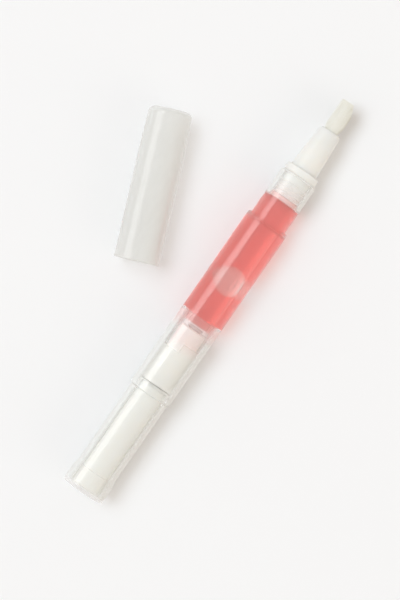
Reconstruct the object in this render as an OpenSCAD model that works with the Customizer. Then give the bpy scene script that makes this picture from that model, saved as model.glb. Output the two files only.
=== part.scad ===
// Twist-up oil pen with a brush tip, lying on its side with its cap beside it.
// The origin is the middle of the knob's end face. The pen's axis is +X, towards the brush,
// and +Z is up. Every piece is built standing along its own axis and then laid down.

/* [Knob] */
// Length of the knob, from its end face to the barrel's rear edge
knob_l = 30.3; // [26:0.1:36]
// Diameter of the end flange, which is also what the pen rests on
flange_d = 12; // [11.8:0.1:13]
// Length of the end flange with the end disc
flange_l = 4.9; // [4:0.1:6.5]
// Length of the slope from the flange down to the grip part
flange_run = 1.7; // [0.8:0.1:3]
// Diameter of the grip part
grip_d = 11.1; // [10.8:0.1:11.6]
// Thickness of the end disc
end_disc_t = 1; // [0.6:0.1:1.5]
// Length of the end plug's foot inside the flange
end_foot_l = 4.7; // [3:0.1:6]
// Wall of the end plug's foot
end_foot_wall = 1.2; // [0.8:0.1:1.4]
// Wall of the grip part
knob_wall = 1.05; // [0.9:0.05:1.2]
// Length of the lip at the grip's front that holds the core
knob_lip_l = 0.6; // [0.4:0.1:1]
// Length of the spigot that turns in the barrel
spigot_l = 2.7; // [2.4:0.1:4]

/* [Barrel] */
// Outer diameter of the barrel
barrel_d = 12; // [11.8:0.1:13]
// Length of the barrel up to its shoulder
barrel_l = 53.7; // [50:0.1:65]
// Wall of the barrel
barrel_wall = 1; // [0.8:0.05:1.1]
// Outer diameter of the neck that the cap slides on
neck_d = 10.32; // [10.1:0.02:10.4]
// Length of the neck
neck_l = 14.1; // [12:0.1:16]
// Wall of the neck
neck_wall = 1.06; // [0.9:0.02:1.2]
// Chamfer on the neck's rim
rim_chamfer = 0.5; // [0.2:0.05:0.8]
// Distance from the shoulder to the middle of the snap bead
bead_back = 3.7; // [2:0.1:5]
// Width of the snap bead
bead_w = 2; // [1:0.1:2.4]
// Height of the snap bead
bead_h = 0.08; // [0.04:0.01:0.1]

/* [Core] */
// Outer diameter of the white core
core_d = 7.4; // [7:0.1:7.6]
// Bore of the drive sleeve
sleeve_bore_d = 5; // [4.8:0.1:5.2]
// Gap between the end disc and the drive sleeve
sleeve_back_gap = 0.3; // [0.1:0.1:1]
// Distance from the drive sleeve's front to the front of the knob's spigot
sleeve_front_gap = 0.4; // [0.3:0.1:0.6]
// Length of the guide nut
guide_l = 17.1; // [16:0.1:19]
// Width of the guide nut's rear flange
guide_flange_t = 1.1; // [0.8:0.1:2]
// Diameter of the guide nut's rear flange
guide_flange_d = 8.4; // [8:0.1:8.8]
// Length of the guide sleeve, where it goes all the way round
guide_sleeve_l = 10.2; // [8:0.1:12]
// How much longer the guide sleeve is on its long side
guide_side_l = 2.5; // [1:0.1:4]
// Depth of the room for the piston's stem in the guide nut's front
stem_room_l = 3.2; // [3:0.1:3.6]
// Diameter of that room
stem_room_d = 4.6; // [4.4:0.1:5]
// Bore of the guide nut behind its thread
guide_bore_d = 4; // [3.8:0.1:4.4]
// Length of the threaded end of the guide nut
nut_l = 3.2; // [3:0.1:5]

/* [Screw] */
// Diameter over the rod's thread
rod_d = 3.2; // [3.1:0.05:3.3]
// Diameter of the rod's core
rod_core_d = 2.4; // [2.3:0.05:2.5]
// Width across the rod's two flats
rod_flats = 1.9; // [1.7:0.05:1.95]
// Lead of the two-start thread
lead = 3.5; // [3:0.1:4]
// Width of a thread ridge at its foot
ridge_foot_w = 0.75; // [0.6:0.05:0.8]
// Width of a thread ridge at its crest
ridge_crest_w = 0.4; // [0.3:0.05:0.5]
// Gap between the end disc and the rod's rear end
rod_back_gap = 2.2; // [1.8:0.1:2.4]
// Length of the rod's neck inside the piston's stem
rod_neck_l = 0.9; // [0.7:0.1:1]
// Diameter of the rod's neck
rod_neck_d = 1.6; // [1.4:0.1:1.8]
// Length of the rod's round head
rod_head_l = 1.1; // [0.9:0.1:1.2]
// Diameter of the rod's round head
rod_head_d = 2.6; // [2.4:0.1:2.8]

/* [Drive and click] */
// Length of the key bush inside the sleeve
key_l = 4.2; // [3.5:0.1:5]
// Length of the key bush's hub in front of the sleeve
key_hub_l = 2.8; // [2.5:0.1:3]
// Diameter of the key bush's hub
key_hub_d = 4; // [3.95:0.05:4.1]
// Width across the hub's two flats
key_hub_flats = 3.4; // [3.2:0.05:3.5]
// Width of the click ring
click_w = 1.6; // [1.2:0.1:1.8]
// Wall of the click ring
click_wall = 0.26; // [0.24:0.02:0.3]
// Thickness of a pawl arm at its tip
pawl_t = 0.3; // [0.26:0.02:0.34]
// Angle that a pawl arm spans
pawl_sweep = 75; // [60:5:90]
// Number of ratchet teeth
teeth = 12; // [8:2:16]
// Depth of a ratchet tooth
tooth_h = 0.3; // [0.2:0.02:0.34]
// Width of the ratchet ring
ratchet_w = 2.1; // [1.9:0.1:2.3]
// Diameter over the ratchet ring
ratchet_d = 6.36; // [6.3:0.02:6.4]

/* [Piston] */
// Length of the piston
piston_l = 3.5; // [3.3:0.1:5]
// Width of a piston lip
lip_w = 0.7; // [0.5:0.1:1]
// Depth of the waist between the lips
waist_h = 0.24; // [0.1:0.02:0.5]
// Depth of the cup in the piston's front
piston_cup_l = 2.15; // [1.5:0.05:2.2]
// Diameter of the cup at its floor
piston_cup_d = 5.6; // [5:0.1:6]
// How much wider the cup is at its mouth
piston_cup_flare = 0.5; // [0.2:0.1:1]
// Diameter of the piston's stiff stem
stem_d = 4; // [3.8:0.1:4.2]
// Gap between the nut's thread and the stem
stem_gap = 0.4; // [0.2:0.1:0.5]
// How far the stem reaches into the piston
stem_grip_l = 0.85; // [0.7:0.05:0.9]
// Width of the bead that holds the stem in the piston
stem_bead_w = 0.4; // [0.3:0.05:0.5]
// Height of that bead
stem_bead_h = 0.2; // [0.1:0.05:0.3]

/* [Nozzle] */
// Length of the plug inside the neck
plug_l = 7.8; // [6.5:0.1:9]
// Diameter of the plug's body between its ribs
plug_d = 7; // [6.6:0.1:7.4]
// Number of sealing ribs on the plug
plug_ribs = 4; // [2:1:5]
// Distance between sealing ribs
plug_rib_pitch = 1.2; // [1.1:0.1:1.4]
// Width of a sealing rib
plug_rib_w = 0.6; // [0.4:0.1:0.8]
// Diameter of the plug's collar
collar_d = 9.3; // [8.8:0.1:9.4]
// Thickness of the plug's collar
collar_t = 2; // [1.2:0.1:3]
// Diameter of the brush holder's spigot in the plug
holder_spigot_d = 4.4; // [4:0.1:5]
// Length of the brush holder's spigot
holder_spigot_l = 8; // [6:0.1:9]
// Length of the cone
cone_l = 12.4; // [10:0.1:16]
// Diameter of the cone at the collar
cone_d = 7.5; // [7:0.1:8.4]
// Diameter of the cone before its nose
cone_nose_d = 6.3; // [5.8:0.1:6.8]
// Length of the rounded nose
nose_l = 1.7; // [1.2:0.1:2.4]
// Diameter of the nose at the brush
nose_end_d = 4.8; // [4.7:0.1:5.2]
// Outer diameter of the feed tube
feed_d = 1.5; // [1.2:0.1:1.8]
// Bore of the feed tube
feed_bore_d = 0.9; // [0.6:0.1:1]

/* [Brush] */
// Length of the brush in front of the nose
brush_l = 8.8; // [6:0.1:12]
// Diameter of the brush at its tip
brush_d = 4.6; // [4.2:0.1:5]
// Diameter of the tuft at its root
root_d = 3.5; // [3.3:0.05:3.6]
// Depth of the pocket that holds the tuft
pocket_l = 4.4; // [4:0.1:6]
// Diameter of the pocket
pocket_d = 4.2; // [4.15:0.05:4.3]
// Wall of the metal collar round the root
tuft_collar_wall = 0.2; // [0.15:0.01:0.22]
// Length of the metal collar
tuft_collar_l = 2.2; // [1.5:0.1:2.4]
// Thickness of the fused slice at the root
root_t = 0.6; // [0.4:0.1:1]
// Strands along one side of the tuft's grid
strand_rows = 18; // [18:1:20]
// How much shorter the brush is at the slanted side
slant_l = 2.9; // [1:0.1:4]

/* [Cap] */
// Length of the cap
cap_l = 40.2; // [40.2:0.1:50]
// Outer diameter of the cap
cap_d = 11.9; // [11.8:0.1:13]
// Diameter of the cap's closed end
cap_end_d = 11.5; // [11.4:0.1:11.9]
// Length over which the cap tapers to its closed end
cap_taper_l = 12; // [6:0.5:20]
// Radius of the closed end's edge
cap_round = 1.7; // [0.5:0.1:2]
// Thickness of the cap's end wall
cap_end_t = 2.6; // [1.2:0.1:2.6]
// Radius between the cap's bore and its ceiling
ceiling_round = 1.5; // [0.5:0.1:2]
// Distance along the pen from the knob's end face to the cap's mouth, as it lies
cap_mouth_x = 56.6; // [40:0.1:80]
// Distance across from the pen's axis to the middle of the cap's mouth
cap_mouth_y = 22.3; // [18:0.1:40]
// Angle between the cap's axis and the pen's axis
cap_turn = 21.6; // [0:0.1:40]

/* [Fits] */
// Radial clearance where a piece turns or slides in another
run_gap = 0.06; // [0.03:0.01:0.1]
// Radial clearance of pieces pressed together
seat_gap = 0.02; // [0.01:0.01:0.03]
// Clearance between end faces
face_gap = 0.1; // [0.05:0.01:0.2]
// Gap between the knob's spigot and the guide nut
spigot_gap = 0.3; // [0.2:0.1:0.5]
// Radial clearance between the cap and the neck
cap_gap = 0.1; // [0.06:0.01:0.12]
// Radial clearance between the rod's thread and the nut's
thread_gap = 0.13; // [0.1:0.01:0.15]
// Radius of small moulded edges
edge_r = 0.3; // [0.1:0.05:0.4]

/* [Hidden] */
$fn = 72;
overrun = 0.5;
edge_steps = 4;
quarter = 90;
whole = 360;

// Radii
barrel_r = barrel_d / 2;
bore_r = barrel_r - barrel_wall;
neck_r = neck_d / 2;
neck_bore_r = neck_r - neck_wall;
flange_r = flange_d / 2;
grip_r = grip_d / 2;
knob_bore_r = grip_r - knob_wall;
core_r = core_d / 2;
core_seat_r = core_r + seat_gap;
spigot_r = bore_r - run_gap;
foot_in_r = core_seat_r;
foot_out_r = foot_in_r + end_foot_wall;
rod_r = rod_d / 2;
rod_core_r = rod_core_d / 2;
nut_bore_r = rod_r + thread_gap;
nut_crest_r = rod_core_r + thread_gap;
lip_r = bore_r - run_gap;
cup_floor_r = piston_cup_d / 2;
cup_mouth_r = cup_floor_r + piston_cup_flare / 2;
stem_r = stem_d / 2;
cap_bore_r = neck_r + cap_gap;
cap_room_r = collar_d / 2 + cap_gap;

// Stations along the pen's axis, from the knob's end face
barrel_back = knob_l + face_gap;
shoulder = barrel_back + barrel_l;
neck_front = shoulder + neck_l;
collar_front = neck_front + collar_t;
cone_front = collar_front + cone_l;
brush_front = cone_front + brush_l;
spigot_front = knob_l + spigot_l;
foot_front = end_disc_t + end_foot_l;
sleeve_back = end_disc_t + sleeve_back_gap;
sleeve_front = spigot_front - sleeve_front_gap;
guide_back = spigot_front + spigot_gap;
guide_front = guide_back + guide_l;
nut_front = guide_front - stem_room_l;
nut_back = nut_front - nut_l;
stem_back = nut_front + stem_gap;
piston_back = guide_front + face_gap;
piston_front = piston_back + piston_l;
cup_floor = piston_front - piston_cup_l;
plug_rear = neck_front - plug_l;
bore_step = shoulder - barrel_wall / 2;
bore_taper = bore_r - neck_bore_r;
taper_back = bore_step - bore_taper;
pocket_back = cone_front - pocket_l;
root_front = pocket_back + root_t;

// How far the piston can go before it meets the slope in the barrel's front
travel = taper_back - 2 * face_gap - piston_front;

// Snap groove in the barrel's rear and the bead on the spigot that clicks into it
snap_mid = (barrel_back + spigot_front) / 2;
snap_w = spigot_l / 4;
snap_h = 2 * run_gap;

// Ratchet, all inside the guide nut's rear cup
cup_l = key_hub_l - spigot_gap;
cup_r = ratchet_d / 2 + seat_gap;
tooth_root_r = key_hub_d / 2 + click_wall + 2 * tooth_h + run_gap;
tooth_crest_r = tooth_root_r - tooth_h;
tooth_step = whole / teeth;
tooth_steep = tooth_step / 12;

// Two-start thread: the distance between ridges, the station of the rod's first ridge in the nut,
// what the nut's ridges fill of the way round, and the angle that each of the rod's ridges spans
ridge_pitch = lead / 2;
thread_start = nut_front - 0.8 * ridge_pitch;
thread_mean_r = (rod_r + rod_core_r) / 2;
lead_angle = atan(lead / (2 * PI * thread_mean_r));
nut_ridge_steps = 8;
nut_ridge_share = 0.85;
rod_ridge_sweep = 72;

// The station in the nut of the ridge that the rod has a share of a turn further round
function rod_thread_at(turn_share) =
  let (z = thread_start + lead * turn_share)
  z - ridge_pitch * floor((z - nut_back - ridge_foot_w + ridge_pitch / 2) / ridge_pitch);

// An arc of steps from angle a0 to a1 about a centre, as outline points
function arc(centre, r, a0, a1, steps = edge_steps) =
  [for (i = [0 : steps]) centre + r * [cos(a0 + (a1 - a0) * i / steps), sin(a0 + (a1 - a0) * i / steps)]];

// Lays a piece that stands along +Z down along +X
module lay() { rotate([0, quarter, 0]) children(); }

// Sets a piece that stands on its mouth to where the cap lies
module lay_cap() {
  translate([cap_mouth_x, cap_mouth_y, (cap_d - barrel_d) / 2]) rotate([0, 0, cap_turn]) lay() children();
}

// A solid of revolution from an outline of [radius, station] points
module turned(outline) { rotate_extrude() polygon(outline); }

// A plain ring between two radii and two stations
module ring(r_in, r_out, back, front) {
  turned([[r_in, back], [r_out, back], [r_out, front], [r_in, front]]);
}

// A round bar or hole with two flats, from one station to another
module two_flat(r, flats, back, front) {
  translate([0, 0, back]) linear_extrude(front - back) intersection() {
    circle(r);
    square([2 * r + overrun, flats], center = true);
  }
}

// One short stretch of thread: a ridge on a slanted ring, at an angle round the axis
module ridge(station, turn, sweep, outline) {
  translate([0, 0, station]) rotate([0, 0, turn]) rotate([lead_angle, 0, 0]) rotate([0, 0, -sweep / 2])
    rotate_extrude(angle = sweep) polygon(outline);
}

module barrel_tube() {
  bead_mid = shoulder + bead_back;
  bead = [for (i = [-edge_steps : edge_steps]) let (share = i / edge_steps)
    [neck_r + bead_h * (1 - share * share), bead_mid + bead_w / 2 * share]];
  color([0.93, 0.93, 0.92, 0.4]) lay() turned(concat(
    [[bore_r, barrel_back]],
    arc([barrel_r - edge_r, barrel_back + edge_r], edge_r, -quarter, 0),
    arc([barrel_r - edge_r, shoulder - edge_r], edge_r, 0, quarter),
    [[neck_r, shoulder]],
    bead,
    [[neck_r, neck_front - rim_chamfer], [neck_r - rim_chamfer, neck_front], [neck_bore_r, neck_front]],
    [[neck_bore_r, bore_step], [bore_r, taper_back]],
    [[bore_r, snap_mid + snap_w], [bore_r + snap_h, snap_mid + snap_w / 2]],
    [[bore_r + snap_h, snap_mid - snap_w / 2], [bore_r, snap_mid - snap_w]]
  ));
}

module oil() {
  r = bore_r - run_gap;
  neck_oil_r = neck_bore_r - run_gap;
  back = piston_front + run_gap;
  color([0.9, 0.45, 0.42]) lay() turned([
    [0, cup_floor + run_gap], [cup_floor_r - run_gap, cup_floor + run_gap],
    [cup_mouth_r - run_gap, back], [r, back], [r, taper_back - run_gap],
    [neck_oil_r, bore_step - run_gap], [neck_oil_r, plug_rear - run_gap], [0, plug_rear - run_gap]
  ]);
}

module nozzle_plug() {
  rib_r = neck_bore_r - seat_gap;
  hole_r = holder_spigot_d / 2 + seat_gap;
  first_rib = plug_rear + plug_rib_pitch;
  color([0.95, 0.95, 0.94]) lay() union() {
    turned(concat(
      [[hole_r, plug_rear], [plug_d / 2 - edge_r, plug_rear], [plug_d / 2, plug_rear + edge_r]],
      [[plug_d / 2, neck_front - plug_rib_w], [rib_r, neck_front - plug_rib_w]],
      [[rib_r, neck_front + face_gap], [collar_d / 2, neck_front + face_gap]],
      arc([collar_d / 2 - edge_r, collar_front - edge_r], edge_r, 0, quarter),
      [[hole_r, collar_front]]
    ));
    for (k = [0 : plug_ribs - 1]) let (z = first_rib + k * plug_rib_pitch)
      turned([[plug_d / 2 - edge_r, z], [plug_d / 2, z], [rib_r, z + plug_rib_w / 3],
        [rib_r, z + 2 * plug_rib_w / 3], [plug_d / 2, z + plug_rib_w],
        [plug_d / 2 - edge_r, z + plug_rib_w]]);
  }
}

module brush_holder() {
  hole_r = feed_d / 2 + seat_gap;
  spigot_back = collar_front - holder_spigot_l;
  nose_back = cone_front - nose_l;
  nose_drop = (cone_nose_d - nose_end_d) / 2;
  nose = [for (i = [0 : 2 * edge_steps]) let (a = quarter * i / (2 * edge_steps))
    [nose_end_d / 2 + nose_drop * cos(a), nose_back + nose_l * sin(a)]];
  color([0.96, 0.96, 0.94]) lay() turned(concat(
    [[hole_r, spigot_back], [holder_spigot_d / 2, spigot_back], [holder_spigot_d / 2, collar_front]],
    [[cone_d / 2, collar_front], [cone_d / 2, collar_front + edge_r]],
    nose,
    [[pocket_d / 2, cone_front], [pocket_d / 2, pocket_back], [hole_r, pocket_back]]
  ));
}

module feed_tube() {
  back = collar_front - holder_spigot_l - edge_r;
  color([0.9, 0.9, 0.88]) lay() ring(feed_bore_d / 2, feed_d / 2, back, pocket_back);
}

module tuft_collar() {
  out_r = pocket_d / 2 - seat_gap;
  color([0.8, 0.8, 0.8]) lay()
    ring(out_r - tuft_collar_wall, out_r, pocket_back + seat_gap, pocket_back + tuft_collar_l);
}

// The tuft. A square grid of strands is drawn onto a disc, so that each strand keeps a cell of its own
// from root to tip and none cross. The fused slice's top is the same grid, and the strands rise from it.
strand_foot_share = 0.84;
strand_tip_share = 0.62;
length_spread_share = 0.05;
slant_from_share = 0.45;

// From the square, with both sides running from -1 to 1, to the unit disc
function to_disc(u, v) =
  (u == 0 && v == 0) ? [0, 0]
  : (abs(u) >= abs(v)) ? u * [cos(45 * v / u), sin(45 * v / u)]
  : v * [sin(45 * u / v), cos(45 * u / v)];

function grid_at(i, n) = 2 * i / n - 1;

// A cell's corner drawn in towards the cell's middle
function in_cell(i, j, di, dj, share, n) =
  to_disc(grid_at(i + 0.5 + (di - 0.5) * share, n), grid_at(j + 0.5 + (dj - 0.5) * share, n));

// Where the strand of cell i, j ends: shorter on the slanted side, and a little uneven
function strand_end(i, j, n) = let (
    at = to_disc(grid_at(i + 0.5, n), grid_at(j + 0.5, n)),
    cut = max(0, -at[1] - slant_from_share) / (1 - slant_from_share),
    uneven = (sin(whole * 0.382 * (i * n + j)) - 1) / 2
  ) brush_front - slant_l * cut + length_spread_share * brush_l * uneven;

module bristles() {
  n = strand_rows;
  corners = [[0, 0], [1, 0], [1, 1], [0, 1]];
  sides = len(corners);
  root_r = root_d / 2;
  tip_r = brush_d / 2 / (1 - (1 - strand_tip_share) / n);
  across = n + 1;
  grid = [for (j = [0 : n]) for (i = [0 : n]) let (p = root_r * to_disc(grid_at(i, n), grid_at(j, n)))
    [p[0], p[1], root_front]];
  feet = [for (j = [0 : n - 1]) for (i = [0 : n - 1]) for (c = corners)
    let (p = root_r * in_cell(i, j, c[0], c[1], strand_foot_share, n)) [p[0], p[1], root_front]];
  tips = [for (j = [0 : n - 1]) for (i = [0 : n - 1]) for (c = corners)
    let (p = tip_r * in_cell(i, j, c[0], c[1], strand_tip_share, n)) [p[0], p[1], strand_end(i, j, n)]];
  // Round the grid's edge, anticlockwise
  edge = concat(
    [for (i = [0 : n - 1]) i],
    [for (j = [0 : n - 1]) j * across + n],
    [for (i = [n : -1 : 1]) n * across + i],
    [for (j = [n : -1 : 1]) j * across]
  );
  rim = len(edge);
  underside = [for (k = edge) [grid[k][0], grid[k][1], pocket_back + seat_gap]];
  foot0 = len(grid);
  tip0 = foot0 + len(feet);
  under0 = tip0 + len(tips);
  middle = under0 + rim;
  cells = [for (j = [0 : n - 1]) for (i = [0 : n - 1]) let (
      s = j * n + i,
      a = [j * across + i, j * across + i + 1, (j + 1) * across + i + 1, (j + 1) * across + i]
    ) for (k = [0 : sides - 1]) let (
      m = (k + 1) % sides,
      f = foot0 + sides * s,
      t = tip0 + sides * s
    ) each [
      [a[k], f + m, a[m]], [a[k], f + k, f + m],
      [f + k, t + m, f + m], [f + k, t + k, t + m]
    ]];
  ends = [for (s = [0 : n * n - 1]) let (t = tip0 + sides * s)
    each [[t, t + 2, t + 1], [t, t + 3, t + 2]]];
  wall = [for (k = [0 : rim - 1]) let (m = (k + 1) % rim) each [
      [edge[k], edge[m], under0 + m], [edge[k], under0 + m, under0 + k], [under0 + k, under0 + m, middle]
    ]];
  color([0.95, 0.93, 0.87]) lay() polyhedron(
    points = concat(grid, feet, tips, underside, [[0, 0, pocket_back + seat_gap]]),
    faces = concat(cells, ends, wall)
  );
}

module guide_nut() {
  flange_rim_r = guide_flange_d / 2;
  room_r = stem_room_d / 2;
  outline = [[nut_bore_r + thread_gap, -ridge_foot_w / 2], [nut_bore_r + thread_gap, ridge_foot_w / 2],
    [nut_crest_r, ridge_crest_w / 2], [nut_crest_r, -ridge_crest_w / 2]];
  color([0.95, 0.95, 0.93]) lay() union() {
    turned([
      [cup_r, guide_back], [flange_rim_r, guide_back], [flange_rim_r, guide_back + guide_flange_t],
      [core_r, guide_back + guide_flange_t], [core_r, guide_front - edge_r],
      [core_r - edge_r, guide_front], [room_r, guide_front], [room_r, nut_front],
      [nut_bore_r, nut_front], [nut_bore_r, nut_back], [guide_bore_d / 2, nut_back],
      [guide_bore_d / 2, guide_back + cup_l], [cup_r, guide_back + cup_l]
    ]);
    // The nut's ridges run midway between the rod's
    for (k = [0 : nut_ridge_steps - 1]) for (s = [0 : 1]) let (
        z = rod_thread_at(k / nut_ridge_steps) + (s + 0.5) * ridge_pitch
      )
      if (z - ridge_foot_w > nut_back && z + ridge_foot_w < nut_front)
        ridge(z, whole * k / nut_ridge_steps, whole / nut_ridge_steps * nut_ridge_share, outline);
  }
}

// Holds the guide nut in the barrel, and is longer on the side away from the cap
module guide_sleeve() {
  out_r = bore_r - seat_gap;
  counter_r = guide_flange_d / 2 + seat_gap;
  counter_front = guide_back + guide_flange_t + seat_gap;
  short_front = guide_back + guide_sleeve_l;
  front = short_front + guide_side_l;
  color([0.9, 0.9, 0.88]) lay() difference() {
    turned([
      [counter_r, guide_back], [out_r, guide_back], [out_r, front], [core_seat_r, front],
      [core_seat_r, counter_front], [counter_r, counter_front]
    ]);
    translate([-out_r - overrun, 0, short_front])
      cube([2 * (out_r + overrun), out_r + overrun, guide_side_l + overrun]);
  }
}

module ratchet_ring() {
  out_r = ratchet_d / 2;
  back = guide_back + (cup_l - ratchet_w) / 2;
  teeth_outline = [for (k = [0 : teeth - 1]) let (a = k * tooth_step) each [
      tooth_root_r * [cos(a), sin(a)],
      (tooth_root_r + tooth_crest_r) / 2 * [cos(a + tooth_step / 2), sin(a + tooth_step / 2)],
      tooth_crest_r * [cos(a + tooth_step - tooth_steep), sin(a + tooth_step - tooth_steep)]
    ]];
  color([0.9, 0.9, 0.88]) lay() difference() {
    translate([0, 0, back]) cylinder(r = out_r, h = ratchet_w);
    translate([0, 0, back - overrun]) linear_extrude(ratchet_w + 2 * overrun) polygon(teeth_outline);
  }
}

module knob_shell() {
  slope_front = flange_l + flange_run;
  counter_r = foot_out_r + seat_gap;
  color([0.93, 0.93, 0.92, 0.4]) lay() turned(concat(
    [[counter_r, end_disc_t + seat_gap], [flange_r, end_disc_t + seat_gap]],
    arc([flange_r - edge_r, flange_l - edge_r], edge_r, 0, quarter / 2),
    [[grip_r + edge_r / 3, slope_front - edge_r], [grip_r, slope_front + edge_r]],
    arc([grip_r - edge_r, knob_l - edge_r], edge_r, 0, quarter),
    [[spigot_r, knob_l], [spigot_r, snap_mid - snap_w / 2], [spigot_r + snap_h - run_gap, snap_mid]],
    [[spigot_r, snap_mid + snap_w / 2], [spigot_r, spigot_front - edge_r]],
    [[spigot_r - edge_r, spigot_front], [core_seat_r, spigot_front]],
    [[core_seat_r, knob_l - knob_lip_l], [knob_bore_r, knob_l - knob_lip_l]],
    [[knob_bore_r, foot_front + face_gap], [counter_r, foot_front + face_gap]]
  ));
}

module knob_end_plug() {
  disc_r = flange_r - edge_r / 2;
  color([0.9, 0.88, 0.87, 0.6]) lay() turned(concat(
    [[0, 0]],
    arc([disc_r - edge_r, edge_r], edge_r, -quarter, 0),
    [[disc_r, end_disc_t], [foot_out_r, end_disc_t], [foot_out_r, foot_front - edge_r]],
    [[foot_out_r - edge_r, foot_front], [foot_in_r, foot_front], [foot_in_r, end_disc_t], [0, end_disc_t]]
  ));
}

module drive_sleeve() {
  color([0.96, 0.96, 0.95]) lay() turned([
    [sleeve_bore_d / 2, sleeve_back], [core_r - edge_r, sleeve_back], [core_r, sleeve_back + edge_r],
    [core_r, sleeve_front - edge_r], [core_r - edge_r, sleeve_front], [sleeve_bore_d / 2, sleeve_front]
  ]);
}

module drive_key() {
  bush_r = sleeve_bore_d / 2 - seat_gap;
  bush_back = sleeve_front - key_l;
  hub_front = sleeve_front + key_hub_l;
  color([0.92, 0.92, 0.9]) lay() difference() {
    union() {
      translate([0, 0, bush_back]) cylinder(r = bush_r, h = key_l);
      two_flat(key_hub_d / 2, key_hub_flats, sleeve_front - overrun, hub_front);
    }
    two_flat(rod_r + run_gap, rod_flats + 2 * run_gap, bush_back - overrun, hub_front + overrun);
  }
}

module click_ring() {
  ring_r = key_hub_d / 2 + seat_gap + click_wall;
  back = guide_back + (cup_l - click_w) / 2;
  tip_r = tooth_root_r - run_gap;
  // An arm leaves the ring and trails back to its tip, which stands just past a tooth's steep side
  function arm(turn) = concat(
    [for (i = [0 : 2 * edge_steps]) let (s = i / (2 * edge_steps), a = turn + pawl_sweep * (1 - s))
      (ring_r - seat_gap + (tip_r - ring_r) * s * s) * [cos(a), sin(a)]],
    [for (i = [2 * edge_steps : -1 : 0]) let (s = i / (2 * edge_steps), a = turn + pawl_sweep * (1 - s))
      (ring_r - click_wall + (tip_r - pawl_t - ring_r + click_wall) * s * s) * [cos(a), sin(a)]]
  );
  color([0.85, 0.86, 0.88]) lay() difference() {
    translate([0, 0, back]) union() {
      cylinder(r = ring_r, h = click_w);
      for (turn = [tooth_steep, 180 + tooth_steep]) linear_extrude(click_w) polygon(arm(turn));
    }
    two_flat(key_hub_d / 2 + seat_gap, key_hub_flats + 2 * seat_gap,
      back - overrun, back + click_w + overrun);
  }
}

module screw_rod() {
  back = end_disc_t + rod_back_gap;
  front = nut_front + face_gap;
  head_back = stem_back + rod_neck_l;
  count = ceil((thread_start - nut_back + travel) / ridge_pitch) + 2;
  outline = [[rod_core_r / 2, -ridge_foot_w / 2], [rod_core_r, -ridge_foot_w / 2],
    [rod_r, -ridge_crest_w / 2], [rod_r, ridge_crest_w / 2],
    [rod_core_r, ridge_foot_w / 2], [rod_core_r / 2, ridge_foot_w / 2]];
  color([0.93, 0.93, 0.92]) lay() union() {
    two_flat(rod_core_r, rod_flats, back, front);
    turned([[0, front - overrun], [rod_neck_d / 2, front - overrun], [rod_neck_d / 2, head_back],
      [rod_head_d / 2, head_back], [rod_head_d / 2, head_back + rod_head_l / 3],
      [rod_neck_d / 2, head_back + rod_head_l], [0, head_back + rod_head_l]]);
    for (k = [0 : count - 1]) for (side = [0, 180]) let (z = thread_start - k * ridge_pitch)
      if (z - ridge_foot_w > back) ridge(z, side, rod_ridge_sweep, outline);
  }
}

// A cup whose front is open to the oil, with two lips and a shallow waist between them
module piston_seal() {
  hole_r = stem_r + seat_gap;
  bead_hole_r = hole_r + stem_bead_h;
  hole_front = piston_back + stem_grip_l + seat_gap;
  bead_back = piston_back + stem_grip_l - stem_bead_w - seat_gap;
  waist_r = lip_r - waist_h;
  color([0.93, 0.87, 0.86]) lay() turned([
    [hole_r, piston_back], [lip_r - edge_r, piston_back], [lip_r, piston_back + edge_r],
    [lip_r, piston_back + lip_w], [waist_r, piston_back + lip_w + waist_h],
    [waist_r, piston_front - lip_w - waist_h], [lip_r, piston_front - lip_w], [lip_r, piston_front],
    [cup_mouth_r, piston_front], [cup_floor_r, cup_floor], [0, cup_floor], [0, hole_front],
    [bead_hole_r, hole_front], [bead_hole_r, bead_back], [hole_r, bead_back]
  ]);
}

// The stiff stem in the piston's rear, where the rod's head snaps in and turns
module piston_core() {
  mouth_r = rod_neck_d / 2 + run_gap;
  room_r = rod_head_d / 2 + run_gap;
  front = piston_back + stem_grip_l;
  room_back = stem_back + rod_neck_l - run_gap;
  room_front = stem_back + rod_neck_l + rod_head_l + run_gap;
  color([0.88, 0.88, 0.87]) lay() turned([
    [mouth_r, stem_back], [stem_r, stem_back], [stem_r, front - stem_bead_w],
    [stem_r + stem_bead_h, front - stem_bead_w], [stem_r + stem_bead_h, front], [0, front],
    [0, room_front], [mouth_r, room_front], [room_r, room_back + rod_head_l / 3 + 2 * run_gap],
    [room_r, room_back], [mouth_r, room_back]
  ]);
}

module cap_shell() {
  r = cap_d / 2;
  end_r = cap_end_d / 2;
  ceiling = cap_l - cap_end_t;
  step = neck_l + face_gap;
  round_steps = 2 * edge_steps;
  dome = [for (i = [0 : round_steps]) let (a = quarter * (1 - i / round_steps))
    [cap_room_r - ceiling_round, ceiling - ceiling_round] + ceiling_round * [cos(a), sin(a)]];
  color([0.93, 0.93, 0.92, 0.75]) lay_cap() turned(concat(
    [[cap_bore_r + edge_r / 2, 0]],
    arc([r - edge_r, edge_r], edge_r, -quarter, 0),
    [[r, cap_l - cap_taper_l]],
    arc([end_r - cap_round, cap_l - cap_round], cap_round, 0, quarter, round_steps),
    [[0, cap_l], [0, ceiling]],
    dome,
    [[cap_room_r, step], [cap_bore_r, step], [cap_bore_r, edge_r / 2]]
  ));
}

barrel_tube();
oil();
nozzle_plug();
brush_holder();
feed_tube();
tuft_collar();
bristles();
guide_nut();
guide_sleeve();
ratchet_ring();
knob_shell();
knob_end_plug();
drive_sleeve();
drive_key();
click_ring();
screw_rod();
piston_seal();
piston_core();
cap_shell();
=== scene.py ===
"""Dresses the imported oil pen: its oil, its brush, its finishes, and the studio that it lies in.

A station is a distance along the pen from the knob's end face, in millimetres.
"""

import logging
import math
import random
from contextlib import contextmanager
from dataclasses import dataclass, field
from enum import Enum
from functools import cache
from typing import Any, Callable, Iterable, Iterator, Optional, Sequence, Union

import bpy
from mathutils import Matrix, Vector


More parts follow.
